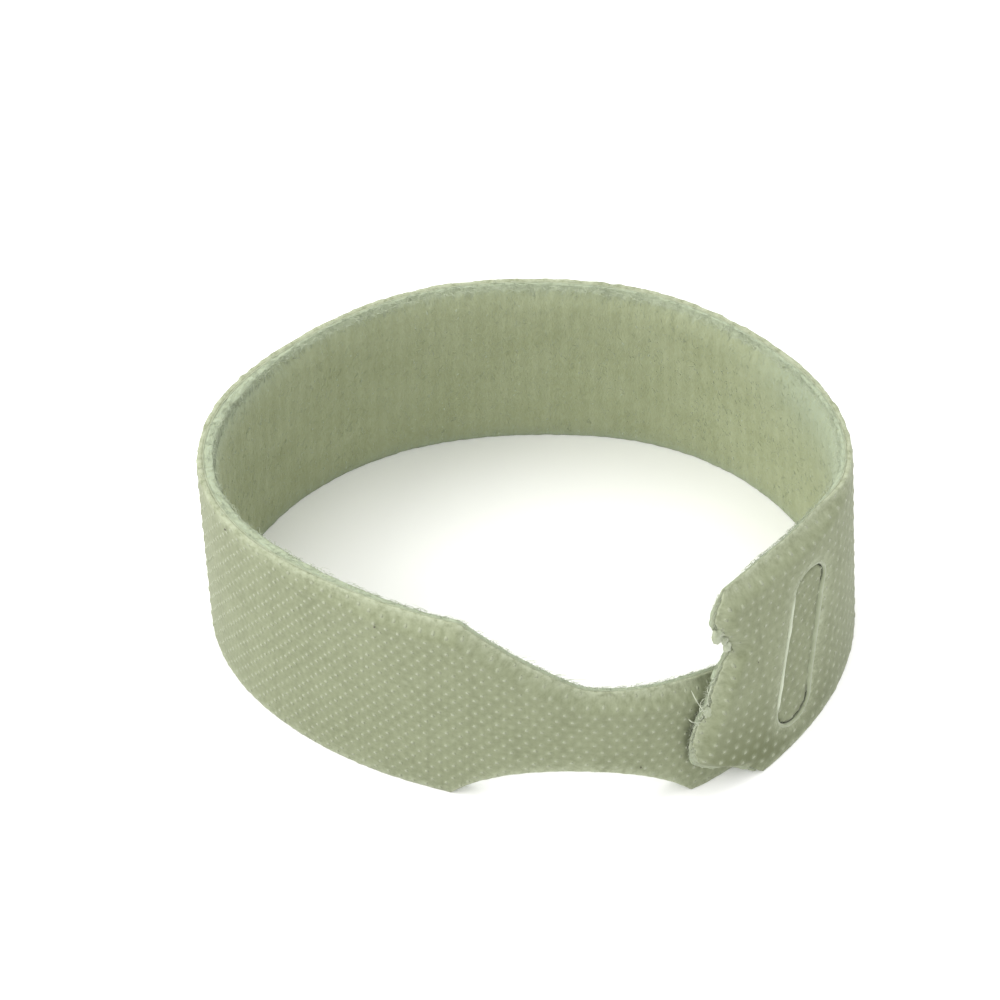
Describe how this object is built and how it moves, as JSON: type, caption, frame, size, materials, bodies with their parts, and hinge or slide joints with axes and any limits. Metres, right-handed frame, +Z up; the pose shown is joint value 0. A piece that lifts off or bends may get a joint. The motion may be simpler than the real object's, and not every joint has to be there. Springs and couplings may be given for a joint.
{
  "type": "wrist strap",
  "caption": "Hook-and-loop wrist strap closed into an oval ring, with a slotted, torn-off head stuck over its narrow tail.",
  "frame": {"origin": "centre of the bounding box, on the plane that the strap's lower rim stands on", "axes": "+X to the right along the ring's longest extent, +Y to the back, away from the neck and the torn head, +Z up across the strap's width"},
  "size_m": [0.0652, 0.0486, 0.0254],
  "materials": {
    "hook_tape": "woven nylon hook tape, matt sage green with pale hook tips",
    "bond": "thin clear laminating adhesive",
    "pile_tape": "napped nylon loop pile, matt blue-green sage"
  },
  "bodies": {
    "band": {"band_hook_ply": "hook_tape", "band_bond_film": "bond", "band_pile_ply": "pile_tape"},
    "tail": {"tail_hook_ply": "hook_tape", "tail_bond_film": "bond", "tail_pile_ply": "pile_tape"},
    "head_root": {"head_root_hook_ply": "hook_tape", "head_root_bond_film": "bond", "head_root_pile_ply": "pile_tape"},
    "head_tip": {"head_tip_hook_ply": "hook_tape", "head_tip_bond_film": "bond", "head_tip_pile_ply": "pile_tape"}
  },
  "joints": [
    {"name": "head_peel", "type": "hinge", "parent": "band", "child": "head_root", "pos_m": [0.03166, -0.00023, 0.01267], "axis": [-0.0723, -0.0009, 0.9974], "range_deg": [0, 60]},
    {"name": "head_curl", "type": "hinge", "parent": "head_root", "child": "head_tip", "pos_m": [0.03009, -0.00711, 0.01263], "axis": [-0.0972, 0.0343, 0.9947], "range_deg": [0, 60]},
    {"name": "tail_swing", "type": "hinge", "parent": "band", "child": "tail", "pos_m": [0.00428, -0.0213, 0.012], "axis": [0, 0, 1], "range_deg": [0, 60]}
  ],
  "couplings": [
    {"joint": "head_curl", "follows": "head_peel", "ratio": 1}
  ]
}
